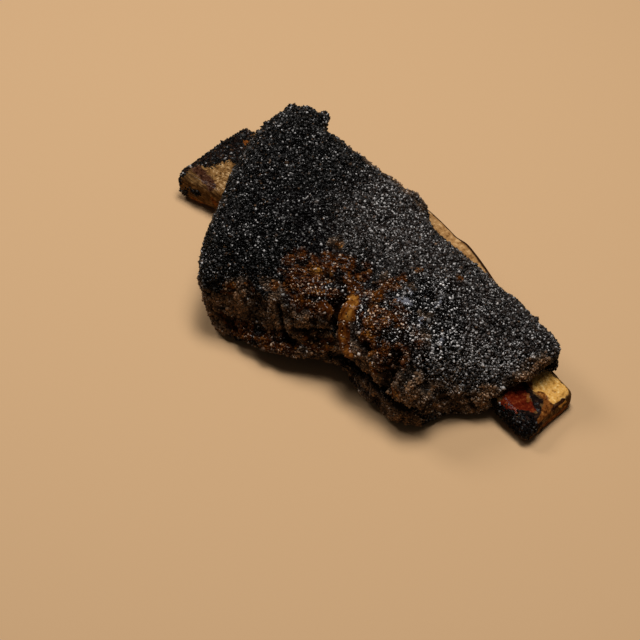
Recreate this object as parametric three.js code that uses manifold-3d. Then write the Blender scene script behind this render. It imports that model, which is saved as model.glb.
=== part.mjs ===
// A smoked beef rib: one long arched bone with a thick piece of meat on it.
// Millimetres, +Z up. X runs along the bone from its wide end to its narrow end and Y across it.
// Sizes below are measured from the near corner of the wide end. The finished group is then
// moved so that its origin lies on the table, below the middle of the whole rib.

import * as THREE from 'three';
import { mergeVertices } from 'three/addons/utils/BufferGeometryUtils.js';
import Module from 'manifold-3d';

const wasm = await Module();
wasm.setup();

// ---------- driving dimensions ----------

// Bone: a flat tapering bar, arched off the table and bowed towards the far side.
const boneLength = 225;
const wideEndWidth = 47.5;
const narrowEndWidth = 31.5;
const wideEndThickness = 16;
const narrowEndThickness = 10.5;
const boneArch = 17;
const boneBow = 17.5;
const curveStart = 1.6; // above 1 the two ends run out straight before the bone curves
const boneCorner = 3.4; // radius of the bar's four long edges
const sawnEdge = 1.6; // rounding of the two sawn ends
const nearCornerCut = 2.5; // the bar's near edge lies this far before Y = 0
const boneStations = 36;
const boneAround = 28;

// Meat: two long edges seen from above, from the wide end to the narrow end.
const nearEdge = [
  [66, -47], [83, -53], [100, -48], [124, -40], [148, -32], [180, -32], [191, -16], [206, -3],
];
const farEdge = [
  [17, 50], [23, 57], [37, 61], [47, 57], [84, 52], [115, 51], [128, 44], [172, 41], [219, 35],
];

// Meat: heights at even steps along it.
const nearTop = [38, 43, 44, 43, 42, 43, 42, 37, 27, 15];
const farTop = [37, 41, 41, 41, 40, 39, 38, 36, 34, 33];
const crown = [4, 6, 6, 6, 5, 5, 4, 3, 2, 1];

const shoulderRadius = 15; // rounding of the meat's upper edges
const footRadius = 5; // rounding of its lower edges
const nearLean = 4; // how far the near shoulder stands back from the near foot
const endRounding = 0.07; // part of the length that each end takes to close
const endSquareness = 3;
const wideEndBulge = 7; // how far the middle of the wide end swells out
const tuckUnder = 7; // how far the meat reaches below the bone's near edge
const gripDepth = 0.45; // part of the bone's thickness that the meat wraps
const meatStations = 46;
const meatAround = 58;
const pieceGap = 0.3;

// Lobes and creases of the meat: each is a line between two points, with a radius and a rise.
// A negative rise is a crease.
const reliefs = {
  rightLobe: { from: [156, -26, 30], to: [166, -20, 34], radius: 17, rise: 5 },
  rightLobeFoot: { from: [172, -33, 16], to: [180, -30, 16], radius: 9, rise: 4 },
  leftLobe: { from: [84, -45, 26], to: [108, -40, 26], radius: 16, rise: 2 },
  leftShoulder: { from: [62, -42, 34], to: [70, -48, 28], radius: 13, rise: 3.5 },
  crevice: { from: [134, -14, 48], to: [138, -42, 8], radius: 8, rise: -4 },
  saddle: { from: [132, -10, 50], to: [122, 40, 46], radius: 10, rise: -2.5 },
  lipGroove: { from: [148, -41, 10], to: [184, -36, 9], radius: 3.5, rise: -4 },
  gapUnderLobes: { from: [116, -44, 0], to: [132, -42, 0], radius: 7, rise: -7 },
  farCorner: { from: [114, 54, 34], to: [120, 51, 30], radius: 6, rise: 2.5 },
  farLeftCorner: { from: [26, 62, 32], to: [38, 66, 30], radius: 8, rise: 2.5 },
  rightNeck: { from: [196, -22, 2], to: [208, -8, 6], radius: 6, rise: -2.5 },
  slabStep: { from: [176, -10, 44], to: [168, 30, 40], radius: 9, rise: -2 },
};

// ---------- shared helpers ----------

function smoothStep(low, high, value) {
  return THREE.MathUtils.smoothstep(value, low, high);
}

// A smooth value through numbers that stand at even steps from 0 to 1.
function along(values, share) {
  const points = values.map((value, step) => new THREE.Vector3(step, value, 0));
  return new THREE.CatmullRomCurve3(points).getPoint(share).y;
}

function edgeCurve(points) {
  return new THREE.CatmullRomCurve3(points.map(([x, y]) => new THREE.Vector3(x, y, 0)));
}

// Even steps round a bar's section with rounded corners, from the middle of its far side.
// Each point is [across, up], in millimetres from the middle of the section.
function barSection(width, height, upperRadius, lowerRadius, count) {
  const right = width / 2;
  const top = height / 2;
  const upper = Math.min(upperRadius, right * 0.98, top * 0.98);
  const lower = Math.min(lowerRadius, right * 0.98, top * 0.98);
  const outline = new THREE.Path();
  outline.moveTo(right, 0);
  outline.absarc(right - upper, top - upper, upper, 0, Math.PI / 2);
  outline.absarc(upper - right, top - upper, upper, Math.PI / 2, Math.PI);
  outline.absarc(lower - right, lower - top, lower, Math.PI, 1.5 * Math.PI);
  outline.absarc(right - lower, lower - top, lower, 1.5 * Math.PI, 2 * Math.PI);
  outline.lineTo(right, 0);
  return outline.getSpacedPoints(count).slice(0, count).map((point) => [point.x, point.y]);
}

// A closed skin over rings of points. Each end closes on the middle of its last ring.
function skinOver(rings) {
  const count = rings[0].length;
  const middle = (ring) => ring
    .reduce((sum, point) => sum.add(point), new THREE.Vector3())
    .divideScalar(count);
  const points = [...rings.flat(), middle(rings[0]), middle(rings.at(-1))];
  const firstMiddle = rings.length * count;
  const lastMiddle = firstMiddle + 1;
  const lastRing = (rings.length - 1) * count;
  const index = [];
  for (let step = 0; step < count; step += 1) {
    const next = (step + 1) % count;
    index.push(firstMiddle, next, step);
    index.push(lastMiddle, lastRing + step, lastRing + next);
    for (let ring = 0; ring < rings.length - 1; ring += 1) {
      const here = ring * count;
      const there = here + count;
      index.push(here + step, here + next, there + next);
      index.push(here + step, there + next, there + step);
    }
  }
  const geometry = new THREE.BufferGeometry().setFromPoints(points);
  geometry.setIndex(index);
  return geometry;
}

function toSolid(geometry) {
  const plain = geometry.clone();
  plain.deleteAttribute('normal');
  plain.deleteAttribute('uv');
  const merged = mergeVertices(plain);
  return new wasm.Manifold(new wasm.Mesh({
    numProp: 3,
    vertProperties: new Float32Array(merged.attributes.position.array),
    triVerts: new Uint32Array(merged.index.array),
  }));
}

function fromSolid(solid) {
  const mesh = solid.getMesh();
  const geometry = new THREE.BufferGeometry();
  geometry.setAttribute('position', new THREE.BufferAttribute(mesh.vertProperties, 3));
  geometry.setIndex(new THREE.BufferAttribute(mesh.triVerts, 1));
  geometry.computeVertexNormals();
  return geometry;
}

// ---------- bone ----------

// The bone's sizes at a distance x from its wide end.
function boneAt(x) {
  const share = THREE.MathUtils.clamp(x / boneLength, 0, 1);
  const curve = Math.sin(Math.PI * share) ** curveStart;
  const width = THREE.MathUtils.lerp(wideEndWidth, narrowEndWidth, share);
  const thickness = THREE.MathUtils.lerp(wideEndThickness, narrowEndThickness, share);
  return {
    width,
    thickness,
    nearY: boneBow * curve - nearCornerCut,
    underside: boneArch * curve,
  };
}

function boneRing(x, inset, growth) {
  const { width, thickness, nearY, underside } = boneAt(x);
  const middleY = nearY + width / 2;
  const middleZ = underside + thickness / 2;
  const wide = width + 2 * (growth - inset);
  const high = thickness + 2 * (growth - inset);
  return barSection(wide, high, boneCorner, boneCorner, boneAround)
    .map(([across, up]) => new THREE.Vector3(x, middleY + across, middleZ + up));
}

function boneGeometry(growth) {
  const rings = [boneRing(-growth, sawnEdge, growth)];
  for (let station = 0; station <= boneStations; station += 1) {
    const share = station / boneStations;
    const x = THREE.MathUtils.lerp(sawnEdge, boneLength - sawnEdge, share);
    rings.push(boneRing(x, 0, growth));
  }
  rings.push(boneRing(boneLength + growth, sawnEdge, growth));
  return skinOver(rings);
}

// ---------- meat ----------

// The meat's lower surface: on the table beside the bone, and round the bone's upper side.
function meatUnderside(x, y) {
  const { thickness, nearY, underside } = boneAt(x);
  const onBone = smoothStep(nearY - tuckUnder, nearY + tuckUnder, y);
  return onBone * (underside + thickness * (1 - gripDepth));
}

// How far a section has opened at a share of the length: 0 at the two ends and 1 between.
function opening(share) {
  const fromEnd = Math.min(share, 1 - share) / endRounding;
  const shortfall = 1 - Math.min(fromEnd, 1);
  return (1 - shortfall ** endSquareness) ** (1 / endSquareness);
}

function meatRing(share, near, far) {
  const start = near.getPointAt(share);
  const end = far.getPointAt(share);
  const open = opening(share);
  const width = start.distanceTo(end);
  const nearHigh = along(nearTop, share);
  const farHigh = along(farTop, share);
  const height = (nearHigh + farHigh) / 2;
  const section = barSection(
    width * open,
    height * open,
    shoulderRadius,
    footRadius,
    meatAround,
  );
  return section.map(([across, up]) => {
    const raised = 0.5 + up / height;
    const side = 0.5 + across / width;
    const lean = (nearLean / width) * raised * (1 - side);
    const spot = start.clone().lerp(end, side + lean);
    spot.x -= wideEndBulge * 4 * side * (1 - side) * (1 - share) ** 4;
    const edges = THREE.MathUtils.lerp(nearHigh, farHigh, side);
    const top = edges + along(crown, share) * (1 - (2 * side - 1) ** 2);
    spot.z = THREE.MathUtils.lerp(meatUnderside(spot.x, spot.y), top, raised);
    return spot;
  });
}

// Steps along the meat that are closer together where its two ends close.
function meatShares() {
  const shares = [];
  for (let station = 1; station < meatStations; station += 1) {
    const even = station / meatStations;
    const eased = 0.5 - 0.5 * Math.cos(Math.PI * even);
    shares.push(THREE.MathUtils.lerp(even, eased, 0.55));
  }
  return shares;
}

function reliefAt(point) {
  let rise = 0;
  for (const relief of Object.values(reliefs)) {
    const line = new THREE.Line3(
      new THREE.Vector3(...relief.from),
      new THREE.Vector3(...relief.to),
    );
    const nearest = line.closestPointToPoint(point, true, new THREE.Vector3());
    const distance = nearest.distanceTo(point);
    rise += relief.rise * Math.exp(-((distance / relief.radius) ** 2));
  }
  return rise;
}

function raiseRelief(geometry) {
  geometry.computeVertexNormals();
  const { position, normal } = geometry.attributes;
  const point = new THREE.Vector3();
  const outward = new THREE.Vector3();
  for (let vertex = 0; vertex < position.count; vertex += 1) {
    point.fromBufferAttribute(position, vertex);
    outward.fromBufferAttribute(normal, vertex);
    point.addScaledVector(outward, reliefAt(point));
    position.setXYZ(vertex, point.x, point.y, Math.max(point.z, 0));
  }
  return geometry;
}

function meatGeometry() {
  const near = edgeCurve(nearEdge);
  const far = edgeCurve(farEdge);
  const rings = meatShares().map((share) => meatRing(share, near, far));
  const whole = toSolid(raiseRelief(skinOver(rings)));
  const boneRoom = toSolid(boneGeometry(pieceGap));
  return fromSolid(whole.subtract(boneRoom));
}

// ---------- the whole rib ----------

function namedMesh(name, geometry, material) {
  const mesh = new THREE.Mesh(geometry, material);
  mesh.name = name;
  return mesh;
}

const boneMaterial = new THREE.MeshStandardMaterial({
  color: 0xa07c48,
  roughness: 0.55,
  metalness: 0,
});
const meatMaterial = new THREE.MeshStandardMaterial({
  color: 0x1e1916,
  roughness: 0.7,
  metalness: 0,
});

const rib = new THREE.Group();
rib.add(namedMesh('bone', boneGeometry(0), boneMaterial));
rib.add(namedMesh('meat', meatGeometry(), meatMaterial));

const box = new THREE.Box3().setFromObject(rib);
const middle = box.getCenter(new THREE.Vector3());
rib.position.set(-middle.x, -middle.y, -box.min.z);

export default rib;
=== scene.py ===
import math

import bmesh
import bpy
import numpy as np
from mathutils import Euler, Matrix, Vector, noise


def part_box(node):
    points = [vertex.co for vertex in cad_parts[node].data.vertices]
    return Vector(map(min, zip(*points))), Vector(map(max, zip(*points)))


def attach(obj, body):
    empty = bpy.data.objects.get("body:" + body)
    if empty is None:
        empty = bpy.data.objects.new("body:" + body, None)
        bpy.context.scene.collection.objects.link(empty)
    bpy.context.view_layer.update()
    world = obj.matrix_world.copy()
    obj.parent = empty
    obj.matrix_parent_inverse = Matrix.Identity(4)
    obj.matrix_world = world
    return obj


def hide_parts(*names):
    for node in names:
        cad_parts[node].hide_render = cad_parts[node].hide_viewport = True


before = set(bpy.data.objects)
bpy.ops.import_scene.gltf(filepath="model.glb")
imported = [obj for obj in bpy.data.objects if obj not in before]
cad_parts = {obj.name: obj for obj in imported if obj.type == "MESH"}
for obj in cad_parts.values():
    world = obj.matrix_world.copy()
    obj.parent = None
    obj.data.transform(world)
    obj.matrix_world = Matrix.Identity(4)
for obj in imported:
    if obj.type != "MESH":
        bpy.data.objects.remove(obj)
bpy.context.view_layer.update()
print("frame loaded:", sorted(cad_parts))

# Sizes are in millimetres and places are measured on the rib itself: X along the bone from
# the near corner of its wide end, Y towards the far side, Z up from the table.
mm = 0.001
nearCornerCut = 2.46  # the bone's near edge lies this far before that corner
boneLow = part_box("bone")[0]
ribCorner = np.array([boneLow.x, boneLow.y + nearCornerCut * mm, 0.0])
ribToFrame = Matrix.Translation(Vector(ribCorner)) @ Matrix.Scale(mm, 4)


def onRib(points):
    return (np.asarray(points, float) - ribCorner) / mm


def inFrame(points):
    return np.asarray(points, float) * mm + ribCorner


camera = {
    "place": (529.1, -412.1, 651.6),
    "aim": (121.3, -25.0, 20.0),
    "roll": -2.13,  # degrees
    "lens": 105.8,
    "sensorWidth": 36,
}
studio = {
    "floorSize": 2400,
    "floorColor": (0.53, 0.325, 0.160),
    "floorRoughness": 0.85,
    "softboxSize": 360,
    "softboxDistance": 1150,
    "softboxAim": (112, 0, 20),
    # degrees round the rib, degrees above the table and power
    "softboxes": {
        "right": (142, 80, 3.3),
        "back": (185, 80, 5.0),
        "rear": (222, 77, 4.4),
        "left": (277, 46, 4.4),
    },
    "skyColor": (1.0, 0.975, 0.95),
    "skyStrength": 0.042,
}


def makeCamera():
    place = Vector(inFrame(camera["place"]))
    forward = (Vector(inFrame(camera["aim"])) - place).normalized()
    level = forward.cross(Vector((0, 0, 1))).normalized()
    right = Matrix.Rotation(-math.radians(camera["roll"]), 3, forward) @ level
    up = right.cross(forward)
    data = bpy.data.cameras.new("camera")
    data.sensor_width = camera["sensorWidth"]
    data.lens = camera["lens"]
    data.clip_start = 0.01
    data.clip_end = 20
    obj = bpy.data.objects.new("camera", data)
    turn = Matrix((right, up, -forward)).transposed()
    obj.matrix_world = Matrix.Translation(place) @ turn.to_4x4()
    bpy.context.scene.collection.objects.link(obj)
    bpy.context.scene.camera = obj


def makeSoftbox(name, around, above, power):
    around, above = math.radians(around), math.radians(above)
    away = Vector((
        math.sin(around) * math.cos(above),
        -math.cos(around) * math.cos(above),
        math.sin(above),
    ))
    data = bpy.data.lights.new(name, "AREA")
    data.shape = "SQUARE"
    data.size = studio["softboxSize"] * mm
    data.energy = power
    obj = bpy.data.objects.new(name, data)
    obj.location = Vector(inFrame(studio["softboxAim"])) + away * studio["softboxDistance"] * mm
    obj.rotation_euler = away.to_track_quat("Z", "Y").to_euler()
    bpy.context.scene.collection.objects.link(obj)


def makeStudio():
    half = studio["floorSize"] * mm / 2
    mesh = bpy.data.meshes.new("floor")
    corners = [(-half, -half, 0), (half, -half, 0), (half, half, 0), (-half, half, 0)]
    mesh.from_pydata(corners, [], [(0, 1, 2, 3)])
    floor = bpy.data.objects.new("floor", mesh)
    bpy.context.scene.collection.objects.link(floor)
    material = bpy.data.materials.new("floor")
    material.use_nodes = True
    shader = material.node_tree.nodes["Principled BSDF"]
    shader.inputs["Base Color"].default_value = (*studio["floorColor"], 1)
    shader.inputs["Roughness"].default_value = studio["floorRoughness"]
    mesh.materials.append(material)
    for name, settings in studio["softboxes"].items():
        makeSoftbox(name, *settings)
    world = bpy.data.worlds.new("studio")
    world.use_nodes = True
    sky = world.node_tree.nodes["Background"]
    sky.inputs["Color"].default_value = (*studio["skyColor"], 1)
    sky.inputs["Strength"].default_value = studio["skyStrength"]
    bpy.context.scene.world = world
    bpy.context.scene.view_settings.view_transform = "Standard"


makeCamera()
makeStudio()
print("camera and studio made")


def pointsOf(mesh):
    flat = np.empty(len(mesh.vertices) * 3)
    mesh.vertices.foreach_get("co", flat)
    return flat.reshape(-1, 3)


def normalsOf(mesh):
    flat = np.empty(len(mesh.vertices) * 3)
    mesh.vertex_normals.foreach_get("vector", flat)
    return flat.reshape(-1, 3)


def movePoints(mesh, points):
    mesh.vertices.foreach_set("co", np.asarray(points, np.float32).ravel())
    mesh.update()


def setMask(mesh, name, values, domain="POINT"):
    layer = mesh.attributes.new(name, "FLOAT", domain)
    layer.data.foreach_set("value", np.asarray(values, np.float32))


def setMasks(mesh, masks):
    for name, values in masks.items():
        setMask(mesh, name, values)


def maskOf(mesh, name):
    values = np.empty(len(mesh.vertices))
    mesh.attributes[name].data.foreach_get("value", values)
    return values


def smoothStep(low, high, values):
    share = np.clip((values - low) / (high - low), 0, 1)
    return share * share * (3 - 2 * share)


# the three noises take settings with a size, about that of their features, and a seed
def noisePlaces(points, settings):
    seed = settings["seed"]
    shift = Vector((seed * 7.13, seed * 3.71, seed * 5.37))
    scale = 1 / settings["size"]
    return (Vector(point) * scale + shift for point in points)


def softNoise(points, settings):
    # from -1 to 1
    return np.array([noise.noise(place) for place in noisePlaces(points, settings)])


def raggedNoise(points, settings):
    fall, step, octaves = 0.7, 2.1, 4
    return np.array([
        noise.fractal(place, fall, step, octaves) for place in noisePlaces(points, settings)
    ])


def pebbleNoise(points, settings):
    # 1 on top of each pebble, falling to 0 in the seams between them
    far = np.array([noise.voronoi(place)[0][0] for place in noisePlaces(points, settings)])
    return 1 - np.clip(far / 0.75, 0, 1) ** 2


def distanceTo(points, path):
    path = [np.array(spot, float) for spot in path]
    best = np.linalg.norm(points - path[0], axis=1)
    for start, end in zip(path, path[1:]):
        run = end - start
        share = np.clip((points - start) @ run / (run @ run), 0, 1)
        gap = np.linalg.norm(points - start - share[:, None] * run, axis=1)
        best = np.minimum(best, gap)
    return best


def areaMask(points, area):
    # each patch is a path with a radius; the edge of the whole is torn by noise
    near = np.full(len(points), -9.0)  # far outside them all
    for path, radius in area["patches"]:
        near = np.maximum(near, 1 - distanceTo(points, path) / radius)
    near += area["tear"] * raggedNoise(points, area)
    return smoothStep(-area["edge"], area["edge"], near)


def areaMasks(points, piece, names):
    return {name: areaMask(points, piece[name + "Area"]) for name in names}


def applyModifiers(obj):
    graph = bpy.context.evaluated_depsgraph_get()
    made = bpy.data.meshes.new_from_object(obj.evaluated_get(graph))
    obj.modifiers.clear()
    obj.data = made


def remeshSmoothly(obj, voxel, smoothing):
    remesh = obj.modifiers.new("remesh", "REMESH")
    remesh.mode = "VOXEL"
    remesh.voxel_size = voxel * mm
    smooth = obj.modifiers.new("smooth", "SMOOTH")
    smooth.factor = 0.5
    smooth.iterations = smoothing
    applyModifiers(obj)


def draftOf(node):
    draft = bpy.data.objects.new("draft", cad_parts[node].data.copy())
    bpy.context.scene.collection.objects.link(draft)
    return draft


def meshFrom(draft):
    mesh = draft.data
    bpy.data.objects.remove(draft)
    return mesh


def layFlat(points, moved, tableReach):
    # what lies on the table stays flat
    lying = smoothStep(0.2, tableReach, points[:, 2])
    moved = points + (moved - points) * lying[:, None]
    moved[:, 2] = np.maximum(moved[:, 2], 0.0)
    return moved


def addBall(shape, centre, radii, turn=0):
    size = Matrix.Diagonal((*radii, 1))
    angle = Euler((0, 0, math.radians(turn))).to_matrix().to_4x4()
    place = ribToFrame @ Matrix.Translation(centre) @ angle @ size
    bmesh.ops.create_icosphere(shape, subdivisions=3, radius=1, matrix=place)


def addRoll(shape, path, spacing=0.9):
    for start, end in zip(path, path[1:]):
        start, end = np.array(start, float), np.array(end, float)
        steps = max(2, int(np.linalg.norm(end[:3] - start[:3]) / spacing))
        for step in range(steps + 1):
            spot = start + (end - start) * step / steps
            addBall(shape, spot[:3], (spot[3],) * 3)


def newPiece(name, mesh, material, node=None):
    obj = bpy.data.objects.new(name, mesh)
    bpy.context.scene.collection.objects.link(obj)
    mesh.materials.clear()
    mesh.materials.append(material)
    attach(obj, "root")
    if node:
        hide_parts(node)


def link(tree, source, target):
    tree.links.new(source, target)


def newNode(tree, kind, **values):
    node = tree.nodes.new(kind)
    for name, value in values.items():
        setattr(node, name, value)
    return node


def fill(tree, socket, value):
    # with a link, a number or a colour without alpha
    if isinstance(value, bpy.types.NodeSocket):
        link(tree, value, socket)
    else:
        socket.default_value = (*value, 1) if isinstance(value, tuple) else value


def combined(tree, operation, first, second):
    node = newNode(tree, "ShaderNodeMath", operation=operation)
    fill(tree, node.inputs[0], first)
    fill(tree, node.inputs[1], second)
    return node.outputs[0]


def times(tree, first, second):
    return combined(tree, "MULTIPLY", first, second)


def larger(tree, first, second):
    return combined(tree, "MAXIMUM", first, second)


def opposite(tree, value):
    return combined(tree, "SUBTRACT", 1.0, value)


def mapped(tree, value, low, high, newLow=0.0, newHigh=1.0):
    node = newNode(tree, "ShaderNodeMapRange", interpolation_type="SMOOTHSTEP")
    link(tree, value, node.inputs["Value"])
    values = {"From Min": low, "From Max": high, "To Min": newLow, "To Max": newHigh}
    for name, number in values.items():
        node.inputs[name].default_value = number
    return node.outputs["Result"]


def mixedColor(tree, factor, first, second):
    node = newNode(tree, "ShaderNodeMix", data_type="RGBA")
    for index, value in ((0, factor), (6, first), (7, second)):
        fill(tree, node.inputs[index], value)
    return node.outputs[2]


def attribute(tree, name):
    return newNode(tree, "ShaderNodeAttribute", attribute_name=name).outputs["Fac"]


def newGroup(name, inputs, outputs):
    # a socket that starts as a tuple is a colour
    tree = bpy.data.node_groups.new(name, "ShaderNodeTree")
    for side, sockets in (("INPUT", inputs), ("OUTPUT", outputs)):
        for label, start in sockets.items():
            kind = "NodeSocketColor" if isinstance(start, tuple) else "NodeSocketFloat"
            socket = tree.interface.new_socket(label, in_out=side, socket_type=kind)
            socket.default_value = start
    return tree, newNode(tree, "NodeGroupInput"), newNode(tree, "NodeGroupOutput")


def placeGroup(tree, group, **values):
    node = newNode(tree, "ShaderNodeGroup", node_tree=group)
    for label, value in values.items():
        fill(tree, node.inputs[label], value)
    return node


def millimetres(tree, stretch=(1, 1, 1)):
    place = newNode(tree, "ShaderNodeTexCoord").outputs["Object"]
    node = newNode(tree, "ShaderNodeVectorMath", operation="MULTIPLY")
    link(tree, place, node.inputs[0])
    node.inputs[1].default_value = [value / mm for value in stretch]
    return node.outputs[0]


def noiseBy(tree, place, size, detail, roughness=0.55):
    node = newNode(tree, "ShaderNodeTexNoise")
    link(tree, place, node.inputs["Vector"])
    link(tree, combined(tree, "DIVIDE", 1.0, size), node.inputs["Scale"])
    node.inputs["Detail"].default_value = detail
    node.inputs["Roughness"].default_value = roughness
    return node.outputs["Fac"]


def makePatchyGroup():
    # tears the edge of a mask and breaks it up inside
    tree, given, result = newGroup(
        "patchy", {"Mask": 0.0, "Size": 3.0, "Tear": 0.5}, {"Mask": 0.0})
    place = millimetres(tree)
    broken = noiseBy(tree, place, given.outputs["Size"], 4.0, 0.6)
    centred = combined(tree, "SUBTRACT", broken, 0.5)
    torn = times(tree, centred, given.outputs["Tear"])
    total = combined(tree, "ADD", given.outputs["Mask"], times(tree, torn, 2.0))
    link(tree, mapped(tree, total, 0.3, 0.7), result.inputs["Mask"])
    return tree


def makeToneGroup():
    # wanders between a dark, a middle and a light tone
    black = (0, 0, 0, 1)
    tree, given, result = newGroup(
        "wanderingTone",
        {"Dark": black, "Middle": black, "Light": black, "Size": 4.0}, {"Color": black})
    place = millimetres(tree)
    wide = noiseBy(tree, place, given.outputs["Size"], 4.0, 0.62)
    lower = mixedColor(tree, mapped(tree, wide, 0.34, 0.50), given.outputs["Dark"],
                       given.outputs["Middle"])
    upper = mixedColor(tree, mapped(tree, wide, 0.52, 0.68), lower, given.outputs["Light"])
    link(tree, upper, result.inputs["Color"])
    return tree


def makeReliefGroup():
    # fine pebbles with grain on them, as a height for bump
    tree, given, result = newGroup(
        "fineRelief", {"Pebble": 1.2, "Grain": 0.35, "Share": 0.4}, {"Height": 0.0})
    place = millimetres(tree)
    cells = newNode(tree, "ShaderNodeTexVoronoi", feature="SMOOTH_F1")
    link(tree, place, cells.inputs["Vector"])
    link(tree, combined(tree, "DIVIDE", 1.0, given.outputs["Pebble"]), cells.inputs["Scale"])
    cells.inputs["Smoothness"].default_value = 0.35
    pebble = opposite(tree, cells.outputs["Distance"])
    grain = noiseBy(tree, place, given.outputs["Grain"], 2.0)
    extra = times(tree, grain, given.outputs["Share"])
    link(tree, combined(tree, "ADD", pebble, extra), result.inputs["Height"])
    return tree


def makeGreaseGroup():
    # dry and wet roughness, wandering over the surface
    tree, given, result = newGroup(
        "grease", {"Wet": 0.0, "Size": 2.5, "Dry Roughness": 0.6, "Wet Roughness": 0.2},
        {"Roughness": 0.0, "Film": 0.0})
    place = millimetres(tree)
    wander = noiseBy(tree, place, given.outputs["Size"], 3.0)
    spread = times(tree, combined(tree, "SUBTRACT", wander, 0.5), 1.1)
    film = mapped(tree, combined(tree, "ADD", given.outputs["Wet"], spread), 0.15, 0.85)
    dry = given.outputs["Dry Roughness"]
    fall = combined(tree, "SUBTRACT", given.outputs["Wet Roughness"], dry)
    rough = combined(tree, "ADD", dry, times(tree, fall, film))
    link(tree, rough, result.inputs["Roughness"])
    link(tree, film, result.inputs["Film"])
    return tree


def makeStreakGroup():
    # fibres that run along the bone
    tree, given, result = newGroup("streaks", {"Size": 1.0}, {"Streak": 0.0})
    place = millimetres(tree, (0.09, 1, 1))
    link(tree, noiseBy(tree, place, given.outputs["Size"], 4.0, 0.6), result.inputs["Streak"])
    return tree


patchy = makePatchyGroup()
wanderingTone = makeToneGroup()
fineRelief = makeReliefGroup()
grease = makeGreaseGroup()
streaks = makeStreakGroup()


def placeTone(tree, size, dark, middle, light):
    node = placeGroup(tree, wanderingTone, Dark=dark, Middle=middle, Light=light, Size=size)
    return node.outputs["Color"]


def placePatchy(tree, name, size, tear):
    node = placeGroup(tree, patchy, Mask=attribute(tree, name), Size=size, Tear=tear)
    return node.outputs["Mask"]


def newMaterial(name):
    material = bpy.data.materials.new(name)
    material.use_nodes = True
    tree = material.node_tree
    return material, tree, tree.nodes["Principled BSDF"]


def setGloss(shader, look):
    shader.inputs["Roughness"].default_value = look["roughness"]
    shader.inputs["Specular IOR Level"].default_value = look["reflection"]
    shader.inputs["Coat Roughness"].default_value = look["filmRoughness"]


def addBump(tree, shader, height, distance):
    bump = newNode(tree, "ShaderNodeBump")
    bump.inputs["Distance"].default_value = distance * mm
    link(tree, height, bump.inputs["Height"])
    link(tree, bump.outputs["Normal"], shader.inputs["Normal"])


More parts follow.
